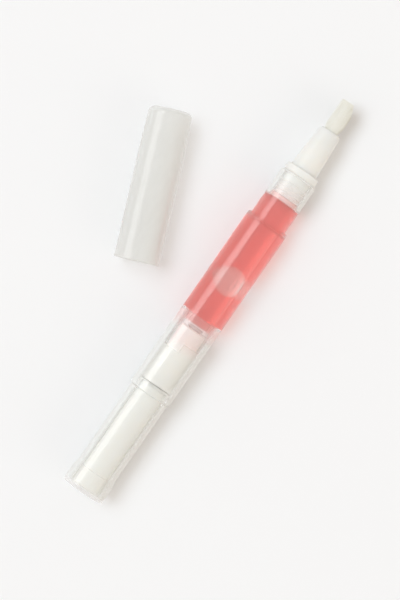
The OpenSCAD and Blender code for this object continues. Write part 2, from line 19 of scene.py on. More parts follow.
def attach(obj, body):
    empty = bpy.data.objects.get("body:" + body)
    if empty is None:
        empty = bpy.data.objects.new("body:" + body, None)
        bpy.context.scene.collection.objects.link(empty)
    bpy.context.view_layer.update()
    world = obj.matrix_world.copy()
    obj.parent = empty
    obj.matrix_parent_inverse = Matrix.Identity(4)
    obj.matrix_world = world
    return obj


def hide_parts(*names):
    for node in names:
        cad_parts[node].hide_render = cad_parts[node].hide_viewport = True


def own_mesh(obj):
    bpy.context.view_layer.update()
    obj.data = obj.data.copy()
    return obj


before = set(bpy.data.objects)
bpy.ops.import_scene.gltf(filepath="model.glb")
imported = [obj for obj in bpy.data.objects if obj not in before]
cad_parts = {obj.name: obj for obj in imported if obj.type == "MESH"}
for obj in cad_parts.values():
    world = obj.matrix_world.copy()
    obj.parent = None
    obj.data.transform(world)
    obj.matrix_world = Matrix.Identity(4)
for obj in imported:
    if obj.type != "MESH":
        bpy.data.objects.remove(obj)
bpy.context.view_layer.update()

LOG = logging.getLogger("oil_pen")
MM = 0.001
ACRYLIC_IOR = 1.49

# A ray that gloss has turned more often than this goes straight on, so that the walls stay clear.
MOST_MIRRORINGS = 1.5
# A face whose normal has more than this along X counts as square to the pen's axis.
SQUARE_TO_AXIS = 0.8
# Marks the oil's faces that show no gloss: its flat joints, its bubble, and all of it in the piston's
# cup, where the rubber lets none show.
JOINT_MARK = "joint"
# Makes each strand of the brush a little lighter or darker than the next.
STRAND_MARK = "strand"

Colour = tuple[float, float, float]
Point = tuple[float, float, float]
Value = Union["Wire", float, Sequence[float]]


def dimmed(colour: Colour, share: float) -> Colour:
    """The darker colour that is left when each part of a colour keeps only a share."""
    return tuple(part * share for part in colour)


@dataclass(frozen=True)
class Pattern:
    """A noise over an object.

    Attributes:
        stretch: How many times a metre it repeats along X, Y and Z.
        detail: The number of finer layers.
        rough: How strong the finer layers are.
        shift: Moves it, so that two patterns differ.
    """

    stretch: Point
    detail: float = 2.0
    rough: float = 0.5
    shift: Point = (0, 0, 0)


HANDLED_PATCHES = Pattern((120, 260, 260), 3.0)
SCRATCHES = Pattern((260, 2600, 2600), 2.0, 0.6, (3, 1, 2))
MOULD_WAVES = Pattern((60, 240, 240), 1.0, 0.4, (5, 7, 1))
OIL_SWIRLS = Pattern((90, 220, 220), 2.0)
THICK_DRIFT = Pattern((140, 240, 240), 3.0, 0.55, (2, 4, 6))
THICK_FLOW = Pattern((60, 900, 900), 2.0, 0.6, (1, 0, 3))
THIN_DRIFT = Pattern((180, 500, 500), 3.0, 0.55, (2, 4, 6))
THIN_FLOW = Pattern((90, 1500, 1500), 2.0, 0.6, (1, 0, 3))
DRAW_LINES = Pattern((200, 5000, 5000), 3.0)
STRAND_TONES = Pattern((300, 5200, 5200), 2.0)
PAPER_FIBRES = Pattern((2500, 2500, 2500), 3.0)


class Wire:
    """A socket of a material's nodes, with the operators that the finishes use."""

    def __init__(self, book: "NodeBook", socket: bpy.types.NodeSocket) -> None:
        """Keeps the output socket that carries the value, and the book that adds new nodes."""
        self.book = book
        self.socket = socket

    def _math(self, operation: str, first: Value, second: Value) -> "Wire":
        """The result of a new Math node."""
        return self.book.add("ShaderNodeMath", {"operation": operation}, {0: first, 1: second})

    def __add__(self, other: Value) -> "Wire":
        """This plus other."""
        return self._math("ADD", self, other)

    def __radd__(self, other: Value) -> "Wire":
        """Other plus this."""
        return self._math("ADD", other, self)

    def __sub__(self, other: Value) -> "Wire":
        """This less other."""
        return self._math("SUBTRACT", self, other)

    def __rsub__(self, other: Value) -> "Wire":
        """Other less this."""
        return self._math("SUBTRACT", other, self)

    def __mul__(self, other: Value) -> "Wire":
        """This times other."""
        return self._math("MULTIPLY", self, other)

    def __rmul__(self, other: Value) -> "Wire":
        """Other times this."""
        return self._math("MULTIPLY", other, self)

    def __abs__(self) -> "Wire":
        """This without its sign."""
        return self._math("ABSOLUTE", self, 0.0)

    def __gt__(self, other: Value) -> "Wire":
        """1 where this is more than other."""
        return self._math("GREATER_THAN", self, other)

    def top(self, other: Value) -> "Wire":
        """The larger of this and other."""
        return self._math("MAXIMUM", self, other)


class NodeBook:
    """Builds one material's or world's nodes."""

    def __init__(self, owner: Union[bpy.types.Material, bpy.types.World]) -> None:
        """Clears the owner's nodes and gives it a new output.

        Args:
            owner: The material or world that gets the nodes.
        """
        owner.use_nodes = True
        self.tree = owner.node_tree
        self.tree.nodes.clear()
        in_world = isinstance(owner, bpy.types.World)
        self.output = self.tree.nodes.new("ShaderNodeOutputWorld" if in_world else "ShaderNodeOutputMaterial")

    def add(self, kind: str, settings: dict[str, Any], inputs: dict[Any, Value], output: Any = 0) -> Wire:
        """Adds one node.

        Args:
            kind: The node's type.
            settings: What is set on the node itself.
            inputs: A value or a wire for each named or numbered socket.
            output: The name or number of the socket that is returned.

        Returns:
            The node's chosen output.
        """
        node = self.tree.nodes.new(kind)
        for name, value in settings.items():
            setattr(node, name, value)
        for name, value in inputs.items():
            socket = node.inputs[name]
            if isinstance(value, Wire):
                self.tree.links.new(value.socket, socket)
            elif isinstance(value, (int, float)) or len(value) == len(socket.default_value):
                socket.default_value = value
            else:
                socket.default_value = (*value, 1.0)
        return Wire(self, node.outputs[output])

    def place(self) -> Wire:
        """Where a point lies on the object, in metres."""
        return self.add("ShaderNodeTexCoord", {}, {}, "Object")

    def part(self, vector: Wire, axis: str) -> Wire:
        """The part of a vector along X, Y or Z."""
        return self.add("ShaderNodeSeparateXYZ", {}, {0: vector}, axis)

    def noise(self, pattern: Pattern) -> Wire:
        """Noise over the object.

        Args:
            pattern: The noise's sizes.

        Returns:
            The noise, from 0 to 1 and mostly near 0.5.
        """
        spot = self.add("ShaderNodeMapping", {}, {
            "Vector": self.place(), "Scale": pattern.stretch, "Location": pattern.shift})
        return self.add("ShaderNodeTexNoise", {}, {
            "Vector": spot, "Scale": 1.0, "Detail": pattern.detail, "Roughness": pattern.rough})

    def blend(self, share: Value, low: Value, high: Value) -> Wire:
        """The colour between two, from low at a share of 0 to high at a share of 1."""
        return self.add("ShaderNodeMix", {"data_type": "RGBA"}, {0: share, 6: low, 7: high}, 2)

    def bump(self, height: Wire, depth_mm: float) -> Wire:
        """The normal that a height from 0 to 1 gives, where 1 stands for a depth in millimetres."""
        return self.add("ShaderNodeBump", {}, {
            "Height": height, "Distance": depth_mm * MM, "Strength": 1.0})

    def ray(self, kind: str) -> Wire:
        """One of the Light Path node's outputs, which say what a ray is for and what turned it."""
        return self.add("ShaderNodeLightPath", {}, {}, kind)

    def spent(self) -> Wire:
        """1 for rays that gloss has turned too often."""
        return self.ray("Glossy Depth") > MOST_MIRRORINGS

    def lamp_search(self) -> Wire:
        """1 for rays that look for light, from a pale surface or for a shadow."""
        return self.ray("Is Shadow Ray").top(self.ray("Is Diffuse Ray"))

    def seen(self) -> Wire:
        """1 for rays that come from the camera, straight, mirrored or through glass."""
        return self.ray("Is Camera Ray").top(self.ray("Is Transmission Ray")).top(self.ray("Is Glossy Ray"))

    def facing(self, axis: str) -> Wire:
        """The part along X, Y or Z of the way the surface faces, on the side that the ray meets."""
        return self.part(self.add("ShaderNodeTexCoord", {}, {}, "Normal"), axis)

    def inward(self) -> Wire:
        """1 for rays that go through the surface towards the pen's axis."""
        return sum(self.part(self.place(), axis) * self.facing(axis) for axis in "YZ") > 0.0

    def out_of_end(self) -> Wire:
        """1 for rays that leave a piece through a face square to the pen's axis."""
        square = abs(self.facing("X")) > SQUARE_TO_AXIS
        return square * self.add("ShaderNodeNewGeometry", {}, {}, "Backfacing")

    def along(self, start: float, full: float) -> Wire:
        """A share that grows along the pen, from 0 at one station to 1 at another."""
        return self.add("ShaderNodeMapRange", {"clamp": True}, {
            "Value": self.part(self.place(), "X"), "From Min": start * MM, "From Max": full * MM})

    def slope(self) -> Wire:
        """0 where a ray meets the surface head on, and 1 where it only brushes it."""
        return self.add("ShaderNodeLayerWeight", {}, {"Blend": 0.5}, "Facing")

    def straight_on(self, tint: Colour = (1.0, 1.0, 1.0)) -> Wire:
        """A clear shader that bends nothing, and counts as glass in a ray's limits."""
        return self.add("ShaderNodeBsdfPrincipled", {}, {
            "Base Color": tint, "Roughness": 0.0, "IOR": 1.0, "Transmission Weight": 1.0})

    def see_through(self, tint: Colour = (1.0, 1.0, 1.0)) -> Wire:
        """A shader that lets rays pass unbent, with a limit of its own on how many there can be."""
        return self.add("ShaderNodeBsdfTransparent", {}, {"Color": tint})

    def mixed(self, share: Value, low: Wire, high: Wire) -> Wire:
        """The shader between two, from low at a share of 0 to high at a share of 1."""
        return self.add("ShaderNodeMixShader", {}, {0: share, 1: low, 2: high})

    def surface(self, shader: Wire) -> None:
        """Joins a shader to the output's surface."""
        self.tree.links.new(shader.socket, self.output.inputs["Surface"])

    def volume(self, shader: Wire) -> None:
        """Joins a shader to the output's volume."""
        self.tree.links.new(shader.socket, self.output.inputs["Volume"])


class Finish:
    """A kind of surface. Each finish is a frozen dataclass that builds its own material."""

    def nodes(self, book: NodeBook) -> None:
        """Writes the finish's nodes.

        Args:
            book: The material's node book.
        """
        raise NotImplementedError

    def material(self, name: str) -> bpy.types.Material:
        """Makes the material.

        Args:
            name: The material's name.

        Returns:
            The material.
        """
        made = bpy.data.materials.new(name)
        self.nodes(NodeBook(made))
        return made


@dataclass(frozen=True)
class PaintedOilLight:
    """Painted light: the oil's colour painted on a pale plastic near the oil, standing in for light that the
    oil tints.

    Attributes:
        start: Station where it starts, in millimetres along the pen.
        full: Station where it is full.
        colour: The colour of the painted light.
    """

    start: float
    full: float
    colour: Colour

    def over(self, book: NodeBook, plain: Wire) -> Wire:
        """A plain colour with the painted oil-coloured light over it."""
        return book.blend(book.along(self.start, self.full), plain, self.colour)


@dataclass(frozen=True)
class ClearPlastic(Finish):
    """Polished clear plastic that lamps shine through.

    Attributes:
        tint: What a ray keeps on its way through one surface.
        haze: The surface's roughness away from the oil.
        haze_at_oil: The same beside the oil, which wets the wall and keeps it clear.
        wear: How much rougher it is where it has been handled.
        clear: The share of light that passes; the rest makes the plastic a little milky.
        shade: What light from a lamp keeps at each surface.
        rim: How much of that light a surface bends away where it only brushes it, on its way in.
        rim_at_oil: The same where the tube is full of oil, which bends light less.
        wet_rear: Stations between which the piston's wetted stretch begins.
        wet_front: Stations between which it ends again, the far one first.
        veil: How much the wall, seen along its surface, hides what is behind it.
        veil_slope: Slopes between which the veil grows from nothing to its full strength.
        veil_rough: The veil's roughness.
        veil_gloss: How much the veil mirrors.
        veil_end: Stations between which the veil stops, in front of the piston.
        edge: The veil's colour.
        painted_rosy_light: The veil's colour beside the piston, a painted light: the oil's colour painted on
            the wall there.
        painted_rosy_light_start: Stations between which the painted oil-coloured light comes in.
        painted_rosy_light_end: Stations between which the painted light fades out again.
        neck_veil: The least that the neck's wall hides of the plug pressed into it.
        neck_start: Stations between which the neck's veil begins.
        ripple_mm: Depth of the slow waves that moulding leaves.
    """

    tint: Colour = (0.99, 0.99, 0.985)
    haze: float = 0.16
    haze_at_oil: float = 0.015
    wear: float = 0.05
    clear: float = 0.96
    shade: Colour = (0.985, 0.985, 0.98)
    rim: float = 1.1
    rim_at_oil: float = 0.4
    wet_rear: tuple[float, float] = (50.0, 51.0)
    wet_front: tuple[float, float] = (91.0, 90.0)
    veil: float = 0.9
    veil_slope: tuple[float, float] = (0.22, 0.5)
    veil_rough: float = 0.6
    veil_gloss: float = 0.1
    veil_end: tuple[float, float] = (53.4, 54.2)
    edge: Colour = (0.85, 0.85, 0.825)
    painted_rosy_light: Colour = (0.90, 0.69, 0.67)
    painted_rosy_light_start: tuple[float, float] = (48.5, 52.0)
    painted_rosy_light_end: tuple[float, float] = (60.0, 61.0)
    neck_veil: float = 0.2
    neck_start: tuple[float, float] = (91.5, 93.0)
    ripple_mm: float = 0.0001

    def nodes(self, book: NodeBook) -> None:
        """Writes the nodes.

        Args:
            book: The material's node book.
        """
        patches, scratches = book.noise(HANDLED_PATCHES), book.noise(SCRATCHES)
        wetted = book.along(*self.wet_rear) * book.along(*self.wet_front)
        haze = self.haze + (self.haze_at_oil - self.haze) * wetted
        glass = book.add("ShaderNodeBsdfPrincipled", {}, {
            "Base Color": book.blend(patches, self.tint, dimmed(self.tint, 0.995)),
            "Roughness": haze + self.wear * (patches * scratches),
            "IOR": ACRYLIC_IOR,
            "Transmission Weight": self.clear,
            "Normal": book.bump(book.noise(MOULD_WAVES), self.ripple_mm),
        })
        # Painted light: the oil's colour painted on the veil beside the piston.
        painted_rosy_share = book.along(*self.painted_rosy_light_start) * (1.0 - book.along(*self.painted_rosy_light_end))
        edge = book.blend(patches, self.edge, dimmed(self.edge, 0.98))
        milk = book.add("ShaderNodeBsdfPrincipled", {}, {
            "Base Color": book.blend(painted_rosy_share, edge, self.painted_rosy_light),
            "Roughness": self.veil_rough + self.wear * scratches,
            "Specular IOR Level": self.veil_gloss,
        })
        wall = book.mixed(self._hidden(book), glass, milk)
        bent = self.rim + (self.rim_at_oil - self.rim) * wetted
        straight = book.lamp_search() * (1.0 - bent * (book.slope() * book.inward()))
        passes = straight.top(book.spent()).top(book.out_of_end())
        book.surface(book.mixed(passes, wall, book.see_through(self.shade)))

    def _hidden(self, book: NodeBook) -> Wire:
        """The share of what lies behind the wall that its veil hides.

        Args:
            book: The material's node book.

        Returns:
            The share, from 0 to 1.
        """
        low, high = self.veil_slope
        thick = book.add("ShaderNodeMapRange", {"interpolation_type": "SMOOTHSTEP"}, {
            "Value": book.slope(), "From Min": low, "From Max": high})
        full_of_oil = book.along(*self.veil_end) * book.along(*self.wet_front)
        in_neck = book.along(*self.neck_start) * self.neck_veil
        return (thick * (1.0 - full_of_oil) * self.veil).top(in_neck)


@dataclass(frozen=True)
class OilFinish(Finish):
    """Coloured oil, darker the further a ray goes through it.

    Attributes:
        dye: The colour that it keeps most of.
        strength: How strongly the oil takes light away, for each metre.
        cloudy: What a ray keeps where the oil is at its cloudiest.
        rough: The roughness there.
        ior: Index of refraction.
    """

    dye: Colour = (0.987, 0.097, 0.02)
    strength: float = 155.0
    cloudy: Colour = (0.995, 0.985, 0.98)
    rough: float = 0.01
    ior: float = 1.47

    def nodes(self, book: NodeBook) -> None:
        """Writes the nodes. Faces marked as joints let rays straight through to the next stretch of oil.

        Args:
            book: The material's node book.
        """
        joint = book.add("ShaderNodeAttribute", {"attribute_name": JOINT_MARK}, {}, "Fac")
        swirl = book.noise(OIL_SWIRLS)
        liquid = book.add("ShaderNodeBsdfPrincipled", {}, {
            "Base Color": book.blend(swirl, (1.0, 1.0, 1.0), self.cloudy),
            "Roughness": swirl * self.rough,
            "IOR": self.ior,
            "Transmission Weight": 1.0,
            "Specular Tint": (0.0, 0.0, 0.0),
        })
        inner = book.mixed(joint, liquid, book.straight_on())
        book.surface(book.mixed(book.lamp_search().top(book.spent()), inner, book.see_through()))
        book.volume(book.add("ShaderNodeVolumeAbsorption", {}, {"Color": self.dye, "Density": self.strength}))


@dataclass(frozen=True)
class MouldedPlastic(Finish):
    """Opaque white or natural moulded plastic that lets light in a little.

    Attributes:
        colour: Its colour.
        other: The colour that it drifts to here and there.
        painted_oil_light: The painted oil-coloured light on it.
        rough: The surface's roughness.
        uneven: How much that roughness changes along the flow of the plastic.
        milk: How much light spreads inside it.
        reach_mm: How far that light spreads.
        reach_parts: The shares of that reach for red, green and blue.
        grain_mm: Depth of its fine grain.
        grain_size_mm: Width of that grain.
        grain_share: The grain's part in the bump; the flow has the rest.
    """

    colour: Colour
    other: Colour
    painted_oil_light: PaintedOilLight
    rough: float
    uneven: float = 0.12
    milk: float = 0.6
    reach_mm: float = 2.0
    reach_parts: Colour = (1.0, 0.9, 0.8)
    grain_mm: float = 0.003
    grain_size_mm: float = 0.25
    grain_share: float = 0.7

    def nodes(self, book: NodeBook) -> None:
        """Writes the nodes.

        Args:
            book: The material's node book.
        """
        grain = book.noise(Pattern((1.0 / (self.grain_size_mm * MM),) * 3))
        drift, flow = book.noise(THICK_DRIFT), book.noise(THICK_FLOW)
        height = grain * self.grain_share + flow * (1.0 - self.grain_share)
        book.surface(book.add("ShaderNodeBsdfPrincipled", {}, {
            "Base Color": self.painted_oil_light.over(book, book.blend(drift, self.colour, self.other)),
            "Roughness": self.rough - self.uneven / 2 + self.uneven * flow,
            "IOR": ACRYLIC_IOR,
            "Subsurface Weight": self.milk,
            "Subsurface Radius": self.reach_parts,
            "Subsurface Scale": self.reach_mm * MM,
            "Normal": book.bump(height, self.grain_mm),
        }))


@dataclass(frozen=True)
class MilkyPlastic(Finish):
    """Thin translucent plastic or rubber that shows what is behind it through a pale veil.

    Attributes:
        colour: The veil's colour.
        other: The colour that it drifts to here and there.
        painted_oil_light: The painted oil-coloured light on it.
        veil: The share of what is behind it that one surface hides.
        rim: How much more it hides where it is seen along its surface.
        tint: What a ray keeps on its way through one surface.
        rough: The surface's roughness.
        uneven_rough: How much that roughness changes along the flow of the plastic.
        grain_mm: Depth of its fine grain.
        flow_share: The flow's part in the bump; the drift has the rest.
        glow_through: The share of the veil that shows light from behind.
        uneven: How much the veil changes from place to place.
        lamp_share: What light from a lamp keeps at each surface.
        coat: How strongly its polished outside mirrors a lamp.
        coat_rough: The roughness of that outside.
    """

    colour: Colour
    other: Colour
    painted_oil_light: PaintedOilLight
    veil: float
    rim: float = 0.5
    tint: Colour = (0.99, 0.99, 0.985)
    rough: float = 0.2
    uneven_rough: float = 0.1
    grain_mm: float = 0.001
    flow_share: float = 0.6
    glow_through: float = 0.4
    uneven: float = 0.1
    lamp_share: float = 1.0
    coat: float = 0.0
    coat_rough: float = 0.1

    def nodes(self, book: NodeBook) -> None:
        """Writes the nodes.

        Args:
            book: The material's node book.
        """
        drift, flow = book.noise(THIN_DRIFT), book.noise(THIN_FLOW)
        colour = self.painted_oil_light.over(book, book.blend(drift, self.colour, self.other))
        height = drift * (1.0 - self.flow_share) + flow * self.flow_share
        front = book.add("ShaderNodeBsdfPrincipled", {}, {
            "Base Color": colour,
            "Roughness": self.rough - self.uneven_rough / 2 + self.uneven_rough * flow,
            "IOR": ACRYLIC_IOR,
            "Coat Weight": self.coat,
            "Coat Roughness": self.coat_rough,
            "Normal": book.bump(height, self.grain_mm),
        })
        back = book.add("ShaderNodeBsdfTranslucent", {}, {"Color": colour})
        body = book.mixed(self.glow_through, front, back)
        slope = book.slope()
        hidden = self.veil * (1.0 + self.uneven * (drift - 0.5)) + self.rim * (slope * slope * slope)
        if self.lamp_share < 1.0:
            straight = (1.0 - hidden).top(book.lamp_search() * self.lamp_share)
            book.surface(book.mixed(straight, body, book.see_through(self.tint)))
        else:
            book.surface(book.mixed(1.0 - hidden, body, book.straight_on(self.tint)))


@dataclass(frozen=True)
class DrawnMetal(Finish):
    """Thin drawn metal with fine lines along the draw.

    Attributes:
        colour: Its colour.
        line_tone: What the darkest lines keep of it.
        rough: Its least roughness.
        uneven: How much rougher the lines are.
        line_mm: Depth of the lines.
    """

    colour: Colour = (0.80, 0.80, 0.79)
    line_tone: float = 0.9
    rough: float = 0.28
    uneven: float = 0.15
    line_mm: float = 0.003

    def nodes(self, book: NodeBook) -> None:
        """Writes the nodes.

        Args:
            book: The material's node book.
        """
        lines = book.noise(DRAW_LINES)
        book.surface(book.add("ShaderNodeBsdfPrincipled", {}, {
            "Base Color": book.blend(lines, self.colour, dimmed(self.colour, self.line_tone)),
            "Metallic": 1.0,
            "Roughness": self.rough + self.uneven * lines,
            "Normal": book.bump(lines, self.line_mm),
        }))


@dataclass(frozen=True)
class Filament(Finish):
    """Fine nylon strands, each a little lighter or darker than the next.

    Attributes:
        light: Colour of the lightest strands.
        dark: Colour of the darkest strands.
        own_share: How much of a strand's tone is its own; the rest changes along it.
        rough: Its least roughness.
        uneven: How much that roughness changes along it.
        ior: Index of refraction.
        grain_mm: Depth of its fine grain.
        lamp_share: The share of a lamp's light that passes a strand.
    """

    light: Colour = (0.97, 0.965, 0.925)
    dark: Colour = (0.93, 0.91, 0.82)
    own_share: float = 0.6
    rough: float = 0.32
    uneven: float = 0.2
    ior: float = 1.53
    grain_mm: float = 0.004
    lamp_share: float = 0.75

    def nodes(self, book: NodeBook) -> None:
        """Writes the nodes.

        Args:
            book: The material's node book.
        """
        own = book.add("ShaderNodeAttribute", {"attribute_name": STRAND_MARK}, {}, "Fac")
        along = book.noise(STRAND_TONES)
        share = own * self.own_share + along * (1.0 - self.own_share)
        nylon = book.add("ShaderNodeBsdfPrincipled", {}, {
            "Base Color": book.blend(share, self.light, self.dark),
            "Roughness": self.rough + self.uneven * along,
            "IOR": self.ior,
            "Normal": book.bump(along, self.grain_mm),
        })
        passes = book.lamp_search() * self.lamp_share
        book.surface(book.mixed(passes, nylon, book.see_through(self.light)))


@dataclass(frozen=True)
class PaperFloor(Finish):
    """The smooth pale surface that the pen lies on.

    Attributes:
        colour: Its colour.
        rough: Its least roughness.
        uneven: How much rougher its fibres make it.
        gloss: How much it mirrors.
        fibre_mm: Depth of its fibres.
        tone: How bright it looks in full light, where 1 is white.
        lift: The share of that tone that it keeps in the shade.
    """

    colour: Colour = (0.92, 0.92, 0.92)
    rough: float = 0.85
    uneven: float = 0.1
    gloss: float = 0.1
    fibre_mm: float = 0.002
    tone: float = 0.905
    lift: float = 0.05

    def nodes(self, book: NodeBook) -> None:
        """Writes the nodes.

        Args:
            book: The material's node book.
        """
        fibre = book.noise(PAPER_FIBRES)
        paper = book.add("ShaderNodeBsdfPrincipled", {}, {
            "Base Color": book.blend(fibre, self.colour, dimmed(self.colour, 0.995)),
            "Roughness": self.rough + self.uneven * fibre,
            "Specular IOR Level": self.gloss,
            "Normal": book.bump(fibre, self.fibre_mm),
        })
        glow = book.add("ShaderNodeEmission", {}, {"Color": (self.tone,) * 3, "Strength": 1.0})
        book.surface(book.mixed(book.seen() * self.lift, paper, glow))


class Stuff(Enum):
    """The finishes of this pen, by the record's material slots, and two finishes that share a slot."""

    CLEAR = "clear_plastic"
    GRIP = "grip_plastic"
    OIL = "oil"
    NECK_OIL = "oil_in_neck"
    WHITE = "white_plastic"
    CORE = "core_plastic"
    NATURAL = "natural_plastic"
    ROD = "rod_plastic"
    END = "end_plastic"
    PISTON = "piston_rubber"
    METAL = "collar_metal"
    BRISTLE = "bristle"
    FROSTED = "frosted_plastic"


# Painted light: each of these paints the oil's colour on pale plastic near the oil, where light tinted by the
# oil falls.
REAR_PAINTED_OIL_LIGHT = PaintedOilLight(43.0, 46.5, (0.90, 0.75, 0.72))
PLUG_PAINTED_OIL_LIGHT = PaintedOilLight(96.5, 90.8, (0.88, 0.73, 0.71))
PISTON_PAINTED_OIL_LIGHT = PaintedOilLight(50.5, 53.0, (0.96, 0.76, 0.74))
# Its stations lie beyond the pen, so it paints no oil-coloured light.
NO_PAINTED_OIL_LIGHT = PaintedOilLight(900.0, 901.0, (0.92, 0.92, 0.90))

FINISHES: dict[Stuff, Finish] = {
    Stuff.CLEAR: ClearPlastic(),
    Stuff.GRIP: ClearPlastic(tint=(0.93, 0.935, 0.91), clear=0.84),
    Stuff.OIL: OilFinish(),
    Stuff.NECK_OIL: OilFinish(strength=190.0),
    Stuff.WHITE: MouldedPlastic((0.87, 0.86, 0.815), (0.855, 0.845, 0.795), PLUG_PAINTED_OIL_LIGHT, rough=0.42),
    Stuff.CORE: MouldedPlastic((0.92, 0.90, 0.855), (0.90, 0.88, 0.83), REAR_PAINTED_OIL_LIGHT, rough=0.55),
    Stuff.NATURAL: MilkyPlastic((0.90, 0.895, 0.86), (0.88, 0.875, 0.84), REAR_PAINTED_OIL_LIGHT, veil=0.32),
    Stuff.ROD: MouldedPlastic((0.89, 0.89, 0.87), (0.87, 0.87, 0.84), REAR_PAINTED_OIL_LIGHT, rough=0.40),
    Stuff.END: MilkyPlastic((0.95, 0.93, 0.91), (0.93, 0.90, 0.88), NO_PAINTED_OIL_LIGHT, veil=0.20, rough=0.14),
    # Painted light: the piston's pink colour stands in for the oil's light tinting the pale piston.
    Stuff.PISTON: MilkyPlastic((0.95, 0.82, 0.80), (0.94, 0.80, 0.78), PISTON_PAINTED_OIL_LIGHT, veil=0.12,
                               tint=(0.995, 0.97, 0.965)),
    Stuff.METAL: DrawnMetal(),
    Stuff.BRISTLE: Filament(),
    Stuff.FROSTED: MilkyPlastic((0.87, 0.87, 0.845), (0.86, 0.86, 0.835), NO_PAINTED_OIL_LIGHT, veil=0.75, rim=0.25,
                                rough=0.17, glow_through=0.35, lamp_share=0.72, coat=1.0),
}
# These lie inside the clear walls, and a shadow ray can pass only so many surfaces before it is cut off.
SHADELESS = (Stuff.NATURAL, Stuff.PISTON, Stuff.END)

# Points of a turned solid that lie closer than this become one.
MERGE_MM = 0.001


@cache
def material_of(stuff: Stuff) -> bpy.types.Material:
    """The one material of a finish, made on first use."""
    return FINISHES[stuff].material(stuff.value + "_finish")


def put(name: str, data: bpy.types.ID) -> bpy.types.Object:
    """Puts a new object in the scene.

    Args:
        name: Its name.
        data: Its mesh, light or camera.

    Returns:
        The object.
    """
    made = bpy.data.objects.new(name, data)
    bpy.context.scene.collection.objects.link(made)
    return made


def deselect() -> None:
    """Leaves edit mode and deselects every object."""
    if bpy.context.object and bpy.context.object.mode != "OBJECT":
        bpy.ops.object.mode_set(mode="OBJECT")
    bpy.ops.object.select_all(action="DESELECT")


def pick(piece: bpy.types.Object) -> None:
    """Makes a piece the only selected and the active object.

    Args:
        piece: The piece.
    """
    deselect()
    piece.select_set(True)
    bpy.context.view_layer.objects.active = piece


@contextmanager
def edit_mode() -> Iterator[None]:
    """Holds the active piece in edit mode, with all of it selected at the start."""
    bpy.ops.object.mode_set(mode="EDIT")
    bpy.ops.mesh.select_all(action="SELECT")
    yield
    bpy.ops.object.mode_set(mode="OBJECT")


def settle(piece: bpy.types.Object, smooth_angle: float = 35.0) -> bpy.types.Object:
    """Applies a piece's place to its mesh and smooths its shading.

    Args:
        piece: The piece.
        smooth_angle: Edges sharper than this many degrees stay sharp.

    Returns:
        The same piece.
    """
    pick(piece)
    bpy.ops.object.transform_apply(location=True, rotation=True, scale=True)
    bpy.ops.object.shade_smooth_by_angle(angle=math.radians(smooth_angle))
    return piece


def revolve(name: str, outline: Sequence[tuple[float, float]], steps: int = 128) -> bpy.types.Object:
    """Turns a half outline round the pen's axis into a closed solid.

    Args:
        name: The new piece's name.
        outline: (station, radius) points in millimetres, from one end on the axis to the other.
        steps: Number of flat sides.

    Returns:
        The piece.
    """
    deselect()
    first, *rest = outline
    bpy.ops.mesh.primitive_plane_add(size=MM, location=(first[0] * MM, 0, first[1] * MM))
    piece = bpy.context.object
    piece.name = piece.data.name = name
    with edit_mode():
        bpy.ops.mesh.merge(type="CENTER")
        at = first
        for point in rest:
            step = ((point[0] - at[0]) * MM, 0, (point[1] - at[1]) * MM)
            bpy.ops.mesh.extrude_vertices_move(TRANSFORM_OT_translate={"value": step})
            at = point
        bpy.ops.mesh.select_all(action="SELECT")
        bpy.ops.mesh.spin(steps=steps, angle=math.tau, center=(0, 0, 0), axis=(1, 0, 0))
        bpy.ops.mesh.select_all(action="SELECT")
        bpy.ops.mesh.remove_doubles(threshold=MERGE_MM * MM)
        bpy.ops.mesh.normals_make_consistent(inside=False)
    return piece


def joined(parts: Sequence[bpy.types.Object]) -> bpy.types.Object:
    """Joins pieces into the first of them.

    Args:
        parts: The pieces, which share one place and turn.

    Returns:
        The joined piece.
    """
    deselect()
    for part in parts:
        part.select_set(True)
    bpy.context.view_layer.objects.active = parts[0]
    bpy.ops.object.join()
    return parts[0]


def hand_over(piece: bpy.types.Object, body: str, stuff: Stuff, stands_for: Sequence[str] = ()) -> None:
    """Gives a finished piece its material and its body.

    Args:
        piece: The piece.
        body: The CAD body that it moves with.
        stuff: Its finish.
        stands_for: The CAD nodes that it is shown in place of.
    """
    piece.data.materials.clear()
    piece.data.materials.append(material_of(stuff))
    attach(piece, body)
    if stands_for:
        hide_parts(*stands_for)
    LOG.info("%s: %d faces, rides on %s", piece.name, len(piece.data.polygons), body)


def dress(nodes: Iterable[str], stuff: Stuff) -> None:
    """Gives CAD nodes a finish.

    Args:
        nodes: The nodes' names.
        stuff: Their finish.
    """
    for name in nodes:
        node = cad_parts[name]
        for slot in node.material_slots:
            slot.material = material_of(stuff)
        if stuff in SHADELESS:
            node.visible_shadow = node.visible_diffuse = False
        LOG.info("%s: %s", name, stuff.value)


